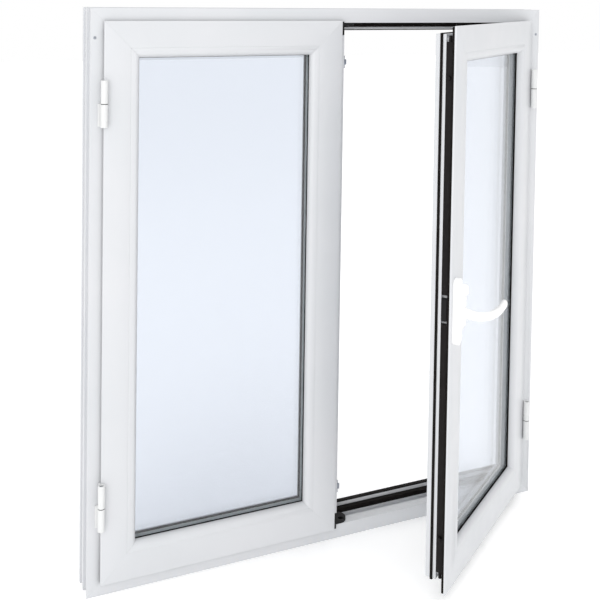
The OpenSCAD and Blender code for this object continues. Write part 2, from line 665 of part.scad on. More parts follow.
// Turns a plate drawn in x and z to lie between two depths
module upright(y_from, y_to) translate([0, y_to, 0]) rotate([90, 0, 0])
  linear_extrude(y_to - y_from) children();
module drive_slots() for (side = [-1, 1])
  translate([drive_pin_s - drive_pin_d / 2 - slot_gap, -eps,
    axis_z + side * (drive_pin_z + travel / 2) - (travel + drive_pin_d) / 2 - slot_gap])
    cube([drive_pin_d + 2 * slot_gap, rod_t - groove_in / 2 + 2 * eps, travel + drive_pin_d + 2 * slot_gap]);
// Screw holes through the face, and the way in to them from the hardware groove
module housing_screw_holes() for (side = [-1, 1]) translate([axis_s, 0, axis_z + side * housing_screw_z])
  rotate([-90, 0, 0]) {
    translate([0, 0, -eps]) cylinder(h = wall + 2 * eps, d = screw_d);
    translate([0, 0, wall]) cylinder(h = rod_t - groove_in / 2 - wall + eps, d = 2 * screw_d);
  }

module rounded_2d(w, len) {
  square([w, len - w], center = true);
  for (side = [-1, 1]) translate([0, side * (len - w) / 2]) circle(d = w);
}
module handle_housing() color(white) in_handle() difference() {
  boss_len = housing_len / 2 - boss_top - boss_from;
  boss_slope = 12;                        // length and height of the slope at the boss's head
  boss_drop = 6;
  union() {
    upright(-housing_t, 0) rounded_2d(housing_w, housing_len);
    intersection() {
      upright(-boss_t, -housing_t + 1) translate([0, boss_from + boss_len / 2])
        rounded_2d(housing_w - 2, boss_len);
      translate([-housing_w / 2, 0, 0]) rotate([90, 0, 90]) linear_extrude(housing_w) polygon([
        [-housing_t + 1, -housing_len / 2], [-boss_t, boss_from],
        [-boss_t, boss_from + boss_len - boss_slope],
        [-boss_t + boss_drop, boss_from + boss_len], [-housing_t + 1, boss_from + boss_len]
      ]);
    }
  }
  translate([-cavity_w / 2, -cavity_d, -cavity_len / 2]) cube([cavity_w, cavity_d + eps, cavity_len]);
  rotate([90, 0, 0]) cylinder(h = boss_t + eps, d = shaft_d + 2 * touch);
  for (side = [-1, 1]) translate([0, eps, side * housing_screw_z]) rotate([90, 0, 0])
    cylinder(h = screw_deep + eps, d = screw_d);
}
module housing_screws() color(bare_metal) in_handle() for (side = [-1, 1])
  translate([0, 0, side * housing_screw_z]) rotate([-90, 0, 0]) {
    translate([0, 0, -screw_deep]) cylinder(h = screw_deep + wall, d = screw_d);
    translate([0, 0, wall]) cylinder(h = screw_head_t, d = 1.75 * screw_d);
  }
module handle_lever() color(white) in_handle() {
  rotate([90, 0, 0]) translate([0, 0, cavity_d + fit]) cylinder(h = boss_t - cavity_d, d = shaft_d);
  rotate([90, 0, 0]) translate([0, 0, boss_t + fit]) cylinder(h = hub_t, d = hub_d);
  translate([-spindle / 2, -cavity_d - 1, -spindle / 2]) cube([spindle, cavity_d - spindle_foot, spindle]);
  upright(-grip_off + grip_t / 2, -boss_t - hub_t) grip_2d(neck_len);
  upright(-grip_off - grip_t / 2, -grip_off + grip_t / 2) grip_2d(lever_len);
}
// Grip outline, round at both ends, from the axis to len
module grip_2d(len) {
  translate([0, -grip_w / 2]) square([len - grip_w / 2, grip_w]);
  for (x = [0, len - grip_w / 2]) translate([x, 0]) circle(d = grip_w);
}
// Tooth that points along +x from the root radius or line at x = from
module tooth_2d(from) polygon([
  [from - 0.3, -0.7 * tooth_w], [from + 2 * tooth_h, -0.3 * tooth_w],
  [from + 2 * tooth_h, 0.3 * tooth_w], [from - 0.3, 0.7 * tooth_w]
]);
module drive_pinion() color(bare_metal) in_handle() upright(gear_y, gear_y + gear_t) difference() {
  union() {
    circle(pinion_r - tooth_h);
    for (i = [0:teeth - 1]) rotate(i * 360 / teeth) tooth_2d(pinion_r - tooth_h);
  }
  square(spindle + fit, center = true);
}
// Rack on the free-edge side of the pinion, with the plate and pin that drive its rod
module rack() upright(gear_y, gear_y + gear_t) {
  back = cavity_w / 2 - rod_gap;
  face = pinion_r + tooth_h + rod_gap;
  foot = 16;
  plate = 10;
  overhang = 4;                           // rack's plate past the lever's axis line
  translate([-back, -foot]) square([back - face, drive_pin_z + plate / 2 + foot]);
  for (i = [-4:3]) translate([-face, (i + 0.5) * pitch]) tooth_2d(0);
  translate([-back, drive_pin_z - plate / 2]) square([back + overhang, plate]);
}
module drive_pin(side) translate([drive_pin_s - axis_s, gear_y + gear_t, side * drive_pin_z])
  rotate([-90, 0, 0]) cylinder(h = rod_t - gear_y - gear_t - drive_pin_short, d = drive_pin_d);
module upper_rack() color(bare_metal) in_handle() {
  rack();
  drive_pin(1);
}
module lower_rack() color(bare_metal) in_handle() {
  rotate([0, 180, 0]) rack();
  drive_pin(-1);
}

// What fills the hardware groove, less a gap all round
module groove_fill_2d(gap) {
  translate([body_s + groove_lip + gap, rod_t - groove_in / 2 + gap])
    square([groove_deep - groove_lip - 2 * gap, groove_in - 2 * gap]);
  translate([body_s - 2 * gap, rod_t - groove_open / 2 + gap])
    square([groove_lip + 3 * gap, groove_open - 2 * gap]);
}
module drive_rod() difference() {
  union() {
    translate([0, 0, rod_foot]) linear_extrude(axis_z - rod_inner - rod_foot) groove_fill_2d(rod_gap);
    translate([body_s + rod_mid, rod_t, rod_end]) cylinder(h = rod_foot - rod_end + rod_gap, d = tip_d);
    translate([body_s, rod_t, cam_z]) rotate([0, -90, 0]) cylinder(h = cam_h, d = cam_d);
  }
  translate([drive_pin_s, 0, axis_z - drive_pin_z]) rotate([-90, 0, 0])
    cylinder(h = rod_t - drive_pin_short + eps, d = drive_pin_d + 2 * touch);
}
module lower_drive_rod() color(black) in_right() drive_rod();
module upper_drive_rod() color(black) in_right() translate([0, 0, sash_h]) mirror([0, 0, 1]) drive_rod();
module rod_guide() color(black) in_right() translate([0, 0, axis_z - guide_len / 2])
  linear_extrude(guide_len) {
    groove_fill_2d(0);
    translate([body_s - guide_h, rod_t - guide_w / 2]) square([guide_h, guide_w]);
  }

frame_head();
frame_sill();
frame_left_jamb();
frame_right_jamb();
frame_corner_cleats();
frame_cleat_screws();
frame_centre_gasket();
frame_leaf_seal();
drain_caps();
bolt_keepers();
hinge_pins();
hinge_washers();
left_hinge_frame_leaves();
right_hinge_frame_leaves();
left_hinge_sash_leaves();
right_hinge_sash_leaves();
left_hinge_bushes();
right_hinge_bushes();
left_top_rail();
left_bottom_rail();
left_hinge_stile();
left_meeting_stile();
left_corner_cleats();
left_beads();
left_inner_pane();
left_outer_pane();
left_spacer();
left_bead_gasket();
left_outer_gasket();
left_weather_seals();
left_setting_blocks();
astragal();
astragal_gasket();
astragal_end_caps();
astragal_keepers();
upper_flush_bolt();
lower_flush_bolt();
right_top_rail();
right_bottom_rail();
right_hinge_stile();
right_meeting_stile();
right_corner_cleats();
right_beads();
right_inner_pane();
right_outer_pane();
right_spacer();
right_bead_gasket();
right_outer_gasket();
right_weather_seals();
right_setting_blocks();
handle_housing();
housing_screws();
rod_guide();
handle_lever();
drive_pinion();
upper_rack();
lower_rack();
upper_drive_rod();
lower_drive_rod();
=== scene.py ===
"""Looks of an inward-opening two-sash casement window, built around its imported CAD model."""

import json
import logging
import math
from dataclasses import dataclass, field
from enum import Enum
from typing import Callable, Optional

import bmesh
import bpy
from mathutils import Matrix, Vector

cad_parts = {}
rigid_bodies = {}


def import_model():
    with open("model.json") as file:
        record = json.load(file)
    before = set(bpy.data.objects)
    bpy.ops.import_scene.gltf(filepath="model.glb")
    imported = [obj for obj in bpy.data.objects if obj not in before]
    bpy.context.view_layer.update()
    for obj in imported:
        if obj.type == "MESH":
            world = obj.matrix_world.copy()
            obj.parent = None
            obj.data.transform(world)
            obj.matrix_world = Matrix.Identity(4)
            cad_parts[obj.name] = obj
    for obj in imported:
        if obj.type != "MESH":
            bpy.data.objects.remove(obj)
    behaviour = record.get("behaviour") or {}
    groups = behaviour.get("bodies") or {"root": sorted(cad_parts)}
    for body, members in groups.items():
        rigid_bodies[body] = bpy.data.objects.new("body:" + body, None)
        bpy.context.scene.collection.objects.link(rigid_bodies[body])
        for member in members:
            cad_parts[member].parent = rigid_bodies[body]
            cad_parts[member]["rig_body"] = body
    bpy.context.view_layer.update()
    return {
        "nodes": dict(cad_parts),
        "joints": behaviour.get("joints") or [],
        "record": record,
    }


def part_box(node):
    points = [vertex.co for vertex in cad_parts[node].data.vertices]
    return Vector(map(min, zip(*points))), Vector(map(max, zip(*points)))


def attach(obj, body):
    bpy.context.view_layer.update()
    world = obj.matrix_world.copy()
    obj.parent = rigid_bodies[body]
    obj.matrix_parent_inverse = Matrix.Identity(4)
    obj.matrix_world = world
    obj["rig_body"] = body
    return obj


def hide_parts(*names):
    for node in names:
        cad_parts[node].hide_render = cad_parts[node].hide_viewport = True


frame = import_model()

MM = 0.001
SHARP = math.radians(38)
LONG = 8 * MM
LOG = logging.getLogger("casement")


# ---- node and colour helpers -------------------------------------------------


def linear(code: str) -> tuple[float, float, float, float]:
    """Turns an sRGB hex colour into linear light.

    Args:
        code: six hex digits, with or without a leading hash.

    Returns:
        Red, green, blue and an alpha of 1.
    """
    digits = code.lstrip("#")
    parts = [int(digits[i:i + 2], 16) / 255 for i in (0, 2, 4)]
    light = [c / 12.92 if c <= 0.04045 else ((c + 0.055) / 1.055) ** 2.4 for c in parts]
    return light[0], light[1], light[2], 1.0


def add_node(
    tree: bpy.types.NodeTree,
    kind: str,
    settings: Optional[dict] = None,
    links: Optional[dict] = None,
) -> bpy.types.Node:
    """Adds one shader node.

    Args:
        tree: the node tree that the node goes into.
        kind: the node's type name, such as ShaderNodeBump.
        settings: a value for each input socket, by name, or for each property of the node.
        links: for each input socket, by name, the output socket that feeds it.

    Returns:
        The new node.
    """
    made = tree.nodes.new(kind)
    for name, value in (settings or {}).items():
        if name in made.inputs:
            made.inputs[name].default_value = value
        else:
            setattr(made, name, value)
    for name, source in (links or {}).items():
        tree.links.new(source, made.inputs[name])
    return made


def set_stops(ramp: bpy.types.Node, stops: list[tuple[float, str]]) -> None:
    """Gives a colour ramp its stops.

    Args:
        ramp: a colour ramp node, which has two stops when it is new.
        stops: position and sRGB hex colour of each stop, in order.
    """
    band = ramp.color_ramp
    while len(band.elements) < len(stops):
        band.elements.new(0.5)
    for stop, (place, code) in zip(band.elements, stops):
        stop.position = place
        stop.color = linear(code)


# ---- finishes ----------------------------------------------------------------


@dataclass(frozen=True)
class Finish:
    """What every finish has: a name, a colour and a gloss."""

    name: str
    colour: str
    roughness: float
    metallic: float = 0.0
    specular: float = 0.5

    def shader(
        self,
    ) -> tuple[bpy.types.Material, bpy.types.NodeTree, bpy.types.Node, bpy.types.Node]:
        """Starts the material.

        Returns:
            The material, its tree, its principled shader and its coordinates.
        """
        made = bpy.data.materials.new(self.name)
        made.use_nodes = True
        tree = made.node_tree
        tree.nodes.clear()
        place = add_node(tree, "ShaderNodeTexCoord")
        skin = add_node(tree, "ShaderNodeBsdfPrincipled", {
            "Base Color": linear(self.colour),
            "Roughness": self.roughness,
            "Metallic": self.metallic,
            "Specular IOR Level": self.specular,
        })
        add_node(tree, "ShaderNodeOutputMaterial", links={"Surface": skin.outputs["BSDF"]})
        return made, tree, skin, place

    def grain(
        self, tree: bpy.types.NodeTree, place: bpy.types.Node, size_mm: float, detail: float = 2.0,
        stretch: tuple[float, float, float] = (1.0, 1.0, 1.0),
    ) -> bpy.types.Node:
        """Adds a noise whose blotches have a real size.

        Args:
            tree: the material's tree.
            place: the coordinates node.
            size_mm: size of one blotch.
            detail: octaves of finer noise.
            stretch: how many times finer the noise is along each axis.

        Returns:
            The noise node.
        """
        turned = add_node(tree, "ShaderNodeMapping", {"Scale": stretch},
                          {"Vector": place.outputs["Object"]})
        return add_node(tree, "ShaderNodeTexNoise",
                        {"Scale": 1 / (size_mm * MM), "Detail": detail},
                        {"Vector": turned.outputs["Vector"]})

    def tint(
        self, tree: bpy.types.NodeTree, skin: bpy.types.Node, noise: bpy.types.Node, other: str
    ) -> None:
        """Lets the colour wander slightly between the finish's own and another one."""
        ramp = add_node(tree, "ShaderNodeValToRGB", links={"Fac": noise.outputs["Fac"]})
        set_stops(ramp, [(0.3, self.colour), (0.7, other)])
        tree.links.new(ramp.outputs["Color"], skin.inputs["Base Color"])

    def gloss(
        self, tree: bpy.types.NodeTree, skin: bpy.types.Node, noise: bpy.types.Node, spread: float
    ) -> None:
        """Lets the roughness vary by spread either way, as handling and coating leave it."""
        spans = {"From Min": 0.3, "From Max": 0.7, "To Min": self.roughness - spread,
                 "To Max": self.roughness + spread}
        rough = add_node(tree, "ShaderNodeMapRange", spans, {"Value": noise.outputs["Fac"]})
        tree.links.new(rough.outputs["Result"], skin.inputs["Roughness"])

    def relief(
        self, tree: bpy.types.NodeTree, skin: bpy.types.Node, height: bpy.types.NodeSocket,
        depth_mm: float, strength: float = 1.0,
    ) -> None:
        """Raises the surface by a height of 0 to 1 times depth_mm."""
        bump = add_node(tree, "ShaderNodeBump", {"Distance": depth_mm * MM, "Strength": strength},
                        {"Height": height})
        tree.links.new(bump.outputs["Normal"], skin.inputs["Normal"])

    def make(self) -> bpy.types.Material:
        """Builds the material."""
        return self.shader()[0]


@dataclass(frozen=True)
class PowderCoat(Finish):
    """White polyester powder baked on aluminium: an even satin white with faint orange peel."""

    shade: str = "#EEF0F1"
    peel_mm: float = 3.0
    peel_deep_mm: float = 0.03

    def make(self) -> bpy.types.Material:
        """Builds the coat: drifting white, uneven satin and the peel's low waves."""
        made, tree, skin, place = self.shader()
        drift = self.grain(tree, place, size_mm=160)
        self.tint(tree, skin, drift, self.shade)
        self.gloss(tree, skin, self.grain(tree, place, size_mm=35), spread=0.05)
        # The real peel is nearer 1 mm across. It is drawn coarser, or a render wouldn't show it.
        peel = self.grain(tree, place, self.peel_mm)
        self.relief(tree, skin, peel.outputs["Fac"], self.peel_deep_mm, 0.6)
        skin.inputs["Coat Weight"].default_value = 0.12
        skin.inputs["Coat Roughness"].default_value = 0.18
        return made


@dataclass(frozen=True)
class Rubber(Finish):
    """Extruded EPDM: brownish black, matt, with fine die lines and a dusty bloom."""

    bloom: str = "#161210"

    def make(self) -> bpy.types.Material:
        """Builds the rubber: patches of bloom over a matt, finely pitted black."""
        made, tree, skin, place = self.shader()
        self.tint(tree, skin, self.grain(tree, place, size_mm=12, detail=4), self.bloom)
        self.gloss(tree, skin, self.grain(tree, place, size_mm=20), spread=0.08)
        pits = self.grain(tree, place, size_mm=0.9)
        self.relief(tree, skin, pits.outputs["Fac"], 0.06, 0.5)
        return made


@dataclass(frozen=True)
class Moulding(Finish):
    """Injection-moulded polyamide: even colour with a spark-eroded grain."""

    shade: str = "#202022"
    grit_mm: float = 0.7

    def make(self) -> bpy.types.Material:
        """Builds the plastic: fine eroded grain and slight flow marks."""
        made, tree, skin, place = self.shader()
        self.tint(tree, skin, self.grain(tree, place, size_mm=18), self.shade)
        grit = add_node(tree, "ShaderNodeTexVoronoi", {"Scale": 1 / (self.grit_mm * MM)},
                        {"Vector": place.outputs["Object"]})
        self.relief(tree, skin, grit.outputs["Distance"], 0.04, 0.5)
        return made


@dataclass(frozen=True)
class RolledBar(Finish):
    """Drawn bar or extrusion left bare or thinly coated: fine lines along its length."""

    shade: str = "#9EA1A4"
    line_mm: float = 0.8

    def make(self) -> bpy.types.Material:
        """Builds the bar: lines run up the bar, and the tone changes from line to line."""
        made, tree, skin, place = self.shader()
        lines = self.grain(tree, place, self.line_mm, detail=3, stretch=(1.0, 1.0, 0.02))
        self.tint(tree, skin, lines, self.shade)
        self.gloss(tree, skin, self.grain(tree, place, size_mm=9), spread=0.07)
        self.relief(tree, skin, lines.outputs["Fac"], 0.02, 0.4)
        return made


@dataclass(frozen=True)
class ZincPlate(Finish):
    """Bright zinc plating: bluish grey steel with cloudy passivation."""

    shade: str = "#A9AEB6"

    def make(self) -> bpy.types.Material:
        """Builds the plating: cloudy grey with uneven gloss."""
        made, tree, skin, place = self.shader()
        cloud = self.grain(tree, place, size_mm=4, detail=4)
        self.tint(tree, skin, cloud, self.shade)
        self.gloss(tree, skin, cloud, spread=0.1)
        return made


@dataclass(frozen=True)
class SpacerBar(Finish):
    """Roll-formed spacer between the panes: satin grey with two rows of breathing holes."""

    hole_pitch_mm: float = 2.5

    def make(self) -> bpy.types.Material:
        """Builds the spacer: satin metal with a regular dotted perforation."""
        made, tree, skin, place = self.shader()
        dots = add_node(tree, "ShaderNodeTexVoronoi",
                        {"Scale": 1 / (self.hole_pitch_mm * MM), "Randomness": 0.0},
                        {"Vector": place.outputs["Object"]})
        ramp = add_node(tree, "ShaderNodeValToRGB", links={"Fac": dots.outputs["Distance"]})
        set_stops(ramp, [(0.12, "#6E7270"), (0.2, self.colour)])
        tree.links.new(ramp.outputs["Color"], skin.inputs["Base Color"])
        return made


@dataclass(frozen=True)
class FloatGlass(Finish):
    """Clear low-emission float glass: smooth, faintly blue, with a trace of roller wave."""

    wave_mm: float = 260.0

    def make(self) -> bpy.types.Material:
        """Builds the glass: full transmission and a very long, shallow wave."""
        made, tree, skin, place = self.shader()
        skin.inputs["Transmission Weight"].default_value = 1.0
        skin.inputs["IOR"].default_value = 1.52
        wave = self.grain(tree, place, self.wave_mm, detail=1)
        self.relief(tree, skin, wave.outputs["Fac"], 0.4, 0.15)
        return made


@dataclass(frozen=True)
class StudioPaper(Finish):
    """White paper for the floor: matt, glowing a little, with a barely visible fibre."""

    glow: float = 0.2

    def make(self) -> bpy.types.Material:
        """Builds the paper: matt white with soft fibre clouds."""
        made, tree, skin, place = self.shader()
        self.tint(tree, skin, self.grain(tree, place, size_mm=30, detail=4), "#FBFBFB")
        skin.inputs["Emission Color"].default_value = linear("#FFFFFF")
        skin.inputs["Emission Strength"].default_value = self.glow
        return made


class Slot(Enum):
    """The finishes that the window's pieces take, by their slot name."""

    PROFILE = "white_profile"
    HANDLE = "white_handle"
    HINGE = "white_hinge"
    CAP = "white_plastic"
    RUBBER = "black_rubber"
    POLYAMIDE = "black_polyamide"
    ROD = "black_rod"
    ZINC = "zinc_plated_steel"
    MILL = "bare_aluminium"
    SPACER = "spacer_bar"
    GLASS = "glass"


FINISHES: dict[Slot, Finish] = {
    Slot.PROFILE: PowderCoat("powder_coated_profile", "#CFD0D3", 0.36, shade="#CBCDD0"),
    Slot.HANDLE: PowderCoat("powder_coated_casting", "#F8F8F7", 0.28, shade="#F4F5F5", peel_mm=2.2),
    Slot.HINGE: PowderCoat("powder_coated_hinge", "#DADBDB", 0.32, shade="#D6D7D7", peel_mm=2.2),
    Slot.CAP: Moulding("white_moulded_cap", "#F0F0EE", 0.5, shade="#ECECEA"),
    Slot.RUBBER: Rubber("epdm_rubber", "#0C0908", 0.82, specular=0.16),
    Slot.POLYAMIDE: Moulding("black_polyamide", "#0E0E0F", 0.6, specular=0.25, shade="#151516"),
    Slot.ROD: RolledBar("black_coated_bar", "#0F0B0B", 0.6, specular=0.2, shade="#161111"),
    Slot.ZINC: ZincPlate("zinc_plated_steel", "#8D9198", 0.34, metallic=1.0),
    Slot.MILL: RolledBar("mill_finish_aluminium", "#B9BCBF", 0.38, metallic=1.0),
    Slot.SPACER: SpacerBar("satin_spacer_bar", "#DDE2DF", 0.45),
    Slot.GLASS: FloatGlass("clear_float_glass", "#E9ECF1", 0.0),
}


# ---- mesh helpers --------------------------------------------------------------


@dataclass
class Workshop:
    """Makes pieces from CAD nodes or new meshes and puts them on their bodies."""

    materials: dict[str, bpy.types.Material] = field(default_factory=dict)

    def mix_finishes(self) -> None:
        """Builds every finish once."""
        for slot, finish in FINISHES.items():
            self.materials[slot.value] = finish.make()

    @staticmethod
    def slot_of(node: str) -> str:
        """The record's material slot of a CAD node."""
        parts = frame["record"]["subparts"]
        return next(part["material_slot"] for part in parts if part["node"] == node)

    @staticmethod
    def body_of(node: str) -> str:
        """The body that a CAD node rides on."""
        return frame["nodes"][node]["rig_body"]

    def dress_nodes(self) -> None:
        """Gives every CAD node the finish of its slot."""
        for node, thing in frame["nodes"].items():
            thing.data.materials.clear()
            thing.data.materials.append(self.materials[self.slot_of(node)])

    @staticmethod
    def merged(node: str) -> bmesh.types.BMesh:
        """Copies a CAD node's mesh, joins its loose triangles and drops the flat joints."""
        mesh = bmesh.new()
        mesh.from_mesh(frame["nodes"][node].data)
        bmesh.ops.remove_doubles(mesh, verts=mesh.verts, dist=0.002 * MM)
        bmesh.ops.dissolve_limit(mesh, angle_limit=math.radians(0.5), verts=mesh.verts,
                                 edges=mesh.edges)
        return mesh

    @staticmethod
    def finished_mesh(name: str, mesh: bmesh.types.BMesh) -> bpy.types.Object:
        """Turns a bmesh into an object with smooth faces and crisp corners.

        Args:
            name: the new object's name.
            mesh: the bmesh, which is used up.

        Returns:
            The object, at the origin, with its place in its mesh.
        """
        for face in mesh.faces:
            face.smooth = True
        for edge in mesh.edges:
            edge.smooth = len(edge.link_faces) == 2 and edge.calc_face_angle(0.0) < SHARP
        data = bpy.data.meshes.new(name)
        mesh.to_mesh(data)
        mesh.free()
        made = bpy.data.objects.new(name, data)
        bpy.context.scene.collection.objects.link(made)
        return made

    def place(self, piece: bpy.types.Object, *nodes: str) -> bpy.types.Object:
        """Dresses a new piece as the CAD nodes that it stands for, and mounts it on their body.

        Args:
            piece: the new piece.
            nodes: the CAD nodes that it stands for.

        Returns:
            The same piece.
        """
        slot = self.slot_of(nodes[0])
        piece.data.materials.clear()
        piece.data.materials.append(self.materials[slot])
        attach(piece, self.body_of(nodes[0]))
        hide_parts(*nodes)
        LOG.info("%s stands for %s", piece.name, ", ".join(nodes))
        return piece

    def soften(
        self, node: str, radius_mm: float, steps: int = 2,
        pick: Optional[Callable[[bmesh.types.BMEdge], bool]] = None,
        before: Optional[Callable[[bmesh.types.BMesh], None]] = None,
    ) -> bpy.types.Object:
        """Replaces a CAD node with a copy whose outer corners are rounded.

        Args:
            node: the CAD node.
            radius_mm: how far each corner is taken back.
            steps: segments round a corner.
            pick: says which corner edges are rounded; all of them where it is left out.
            before: shapes the copy before its corners are rounded.

        Returns:
            The new piece.
        """
        mesh = self.merged(node)
        if before:
            before(mesh)
        edges = [
            edge for edge in mesh.edges
            if len(edge.link_faces) == 2 and edge.is_convex and edge.calc_face_angle(0.0) > SHARP
            and (pick is None or pick(edge))
        ]
        if edges:
            bmesh.ops.bevel(mesh, geom=edges, offset=radius_mm * MM, offset_type="OFFSET",
                            segments=steps, profile=0.5, affect="EDGES", clamp_overlap=True,
                            material=-1)
        return self.place(self.finished_mesh(node + "_rounded", mesh), node)


@dataclass
class Swing:
    """How a sash stands: turned about its pins from where it is shut."""

    joint: str
    pivot: Vector = field(init=False)
    angle: float = field(init=False)

    def __post_init__(self) -> None:
        """Reads the pivot and the angle as drawn from the joint, whose lower limit is shut."""
        joint = next(j for j in frame["joints"] if j["name"] == self.joint)
        self.pivot = Vector(joint["pos_m"])
        self.angle = -math.radians(joint["range_deg"][0]) * joint["axis"][2]

    @property
    def turn(self) -> Matrix:
        """The matrix that takes a point from the shut sash to the sash as drawn."""
        there = Matrix.Translation(self.pivot)
        return there @ Matrix.Rotation(self.angle, 4, "Z") @ there.inverted()

    def shut_box(self, node: str) -> tuple[Vector, Vector]:
        """The lowest and highest corners of a CAD node with the sash shut."""
        back = self.turn.inverted()
        points = [back @ v.co for v in frame["nodes"][node].data.vertices]
        low = Vector(min(p[i] for p in points) for i in range(3))
        high = Vector(max(p[i] for p in points) for i in range(3))
        return low, high


# ---- outer frame -----------------------------------------------------------------


@dataclass
class OuterFrame:
    """The fixed frame with its gaskets, screws, keepers and drain covers."""

    shop: Workshop
    corner_mm: float = 0.8
    joint_mm: float = 0.12
    screw_dome: float = 0.3

    def build(self) -> None:
        """Builds the frame's pieces in order."""
        for node, axis in (("frame_head", 0), ("frame_sill", 0),
                           ("frame_left_jamb", 2), ("frame_right_jamb", 2)):
            self.member(node, axis)
        self.shop.soften("frame_centre_gasket", 1.6, steps=4, pick=long_edge)
        # frame_leaf_seal is a black strip along the tip of the frame's outer leaf; this rounds its
        # long edges.
        self.shop.soften("frame_leaf_seal", 0.9, steps=3, pick=long_edge)
        self.shop.soften("drain_caps", 1.2, steps=3)
        self.shop.soften("bolt_keepers", 0.6, steps=2, pick=long_edge)
        self.cleat_screws()

    def member(self, node: str, axis: int) -> None:
        """Rounds the room-side corners of one frame member and opens its mitres to a hairline.

        Args:
            node: the member's CAD node.
            axis: 0 for one that lies along X, 2 for one that stands along Z.
        """
        room_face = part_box(node)[0].y
        rear_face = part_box(node)[1].y

        def pick(edge: bmesh.types.BMEdge) -> bool:
            """Long edges in the room face or the outside face."""
            ends = [v.co.y for v in edge.verts]
            on_face = max(ends) < room_face + 0.1 * MM or min(ends) > rear_face - 0.1 * MM
            return on_face and runs_along(edge, axis)

        self.shop.soften(node, self.corner_mm, steps=3, pick=pick,
                         before=lambda mesh: shorten(mesh, axis, self.joint_mm))

    def cleat_screws(self) -> None:
        """Builds the two screws at the frame's top corners, with low domed heads."""
        node = "frame_cleat_screws"
        low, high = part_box(node)
        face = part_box("frame_head")[0].y
        radius = (high.z - low.z) / 2
        mesh = bmesh.new()
        for x in (low.x + radius, high.x - radius):
            shank = bmesh.ops.create_cone(mesh, cap_ends=True, segments=24, radius1=radius * 0.6,
                                          radius2=radius * 0.6, depth=high.y - low.y - 1 * MM)
            head = bmesh.ops.create_uvsphere(mesh, u_segments=28, v_segments=14, radius=radius)
            bmesh.ops.scale(mesh, vec=(1, 1, self.screw_dome), verts=head["verts"])
            turned = Matrix.Rotation(math.radians(90), 4, "X")
            middle = Vector((x, face, (low.z + high.z) / 2))
            bmesh.ops.transform(mesh, matrix=Matrix.Translation(middle) @ turned,
                                verts=head["verts"])
            inside = middle + Vector((0, (high.y - low.y) / 2, 0))
            bmesh.ops.transform(mesh, matrix=Matrix.Translation(inside) @ turned,
                                verts=shank["verts"])
        for vert in mesh.verts:
            vert.co.y = max(vert.co.y, low.y)
        self.shop.place(self.shop.finished_mesh("cleat_screw_heads", mesh), node)


def long_edge(edge: bmesh.types.BMEdge) -> bool:
    """Whether an edge is over 8 mm long."""
    return edge.calc_length() > LONG


def runs_along(edge: bmesh.types.BMEdge, axis: int, matrix: Optional[Matrix] = None) -> bool:
    """Whether an edge is long and runs along an axis.

    Args:
        edge: the edge.
        axis: 0, 1 or 2 for X, Y or Z.
        matrix: turns the edge before it is judged.

    Returns:
        True where it does.
    """
    span = edge.verts[1].co - edge.verts[0].co
    if matrix:
        span = matrix.to_3x3() @ span
    return span.length > LONG and abs(span[axis]) > 0.999 * span.length


def shorten(
    mesh: bmesh.types.BMesh, axis: int, by_mm: float, turn: Matrix = Matrix.Identity(4)
) -> None:
    """Takes a member back at both ends, so that its joints show as hairlines.

    Args:
        mesh: the member.
        axis: 0 or 2 for the axis that it lies along when the sash is shut.
        by_mm: how much shorter it gets.
        turn: takes a point from the shut sash to the sash as drawn.
    """
    back = turn.inverted()
    along = [(back @ v.co)[axis] for v in mesh.verts]
    low, high = min(along), max(along)
    factor = Vector((1, 1, 1))
    factor[axis] = 1 - by_mm * MM / (high - low)
    middle = Vector((0, 0, 0))
    middle[axis] = (low + high) / 2
    there = Matrix.Translation(middle)
    squeeze = there @ Matrix.Diagonal(factor.to_4d()) @ there.inverted()
    bmesh.ops.transform(mesh, matrix=turn @ squeeze @ back, verts=mesh.verts)


# ---- sashes ------------------------------------------------------------------------


@dataclass
class Sash:
    """One glazed sash: four rails and stiles, beads, gaskets and its hinge leaves."""

    shop: Workshop
    side: str
    swing: Swing
    corner_mm: float = 0.8
    joint_mm: float = 0.12
    bead_corner_mm: float = 0.5
    flange_mm: float = 4.2

    def build(self) -> None:
        """Builds the sash's pieces in order."""
        for name, axis in (("top_rail", 0), ("bottom_rail", 0),
                           ("hinge_stile", 2), ("meeting_stile", 2)):
            self.member(f"{self.side}_{name}", axis)
        self.shop.soften(f"{self.side}_beads", self.bead_corner_mm, steps=2, pick=long_edge)
        self.shop.soften(f"{self.side}_weather_seals", 1.0, steps=3, pick=long_edge)
        self.shop.soften(f"{self.side}_spacer", 0.6, steps=2, pick=long_edge)
        for leaf in ("frame", "sash"):
            self.shop.soften(f"{self.side}_hinge_{leaf}_leaves", 0.6, steps=2)

    def member(self, node: str, axis: int) -> None:
        """Rounds the flange and rear corners of one rail or stile and opens its mitres.

        Args:
            node: the member's CAD node.
            axis: 0 for a rail, 2 for a stile.
        """
        low, high = self.swing.shut_box(node)
        back = self.swing.turn.inverted()
        flange = low.y + self.flange_mm * MM

        def pick(edge: bmesh.types.BMEdge) -> bool:
            """Long edges of the room-side flange or of the outside face."""
            ends = [(back @ v.co).y for v in edge.verts]
            on_face = max(ends) < flange or min(ends) > high.y - 0.1 * MM
            return on_face and runs_along(edge, axis, back)

        self.shop.soften(node, self.corner_mm, steps=3, pick=pick,
                         before=lambda mesh: shorten(mesh, axis, self.joint_mm, self.swing.turn))


# ---- meeting of the sashes -----------------------------------------------------------


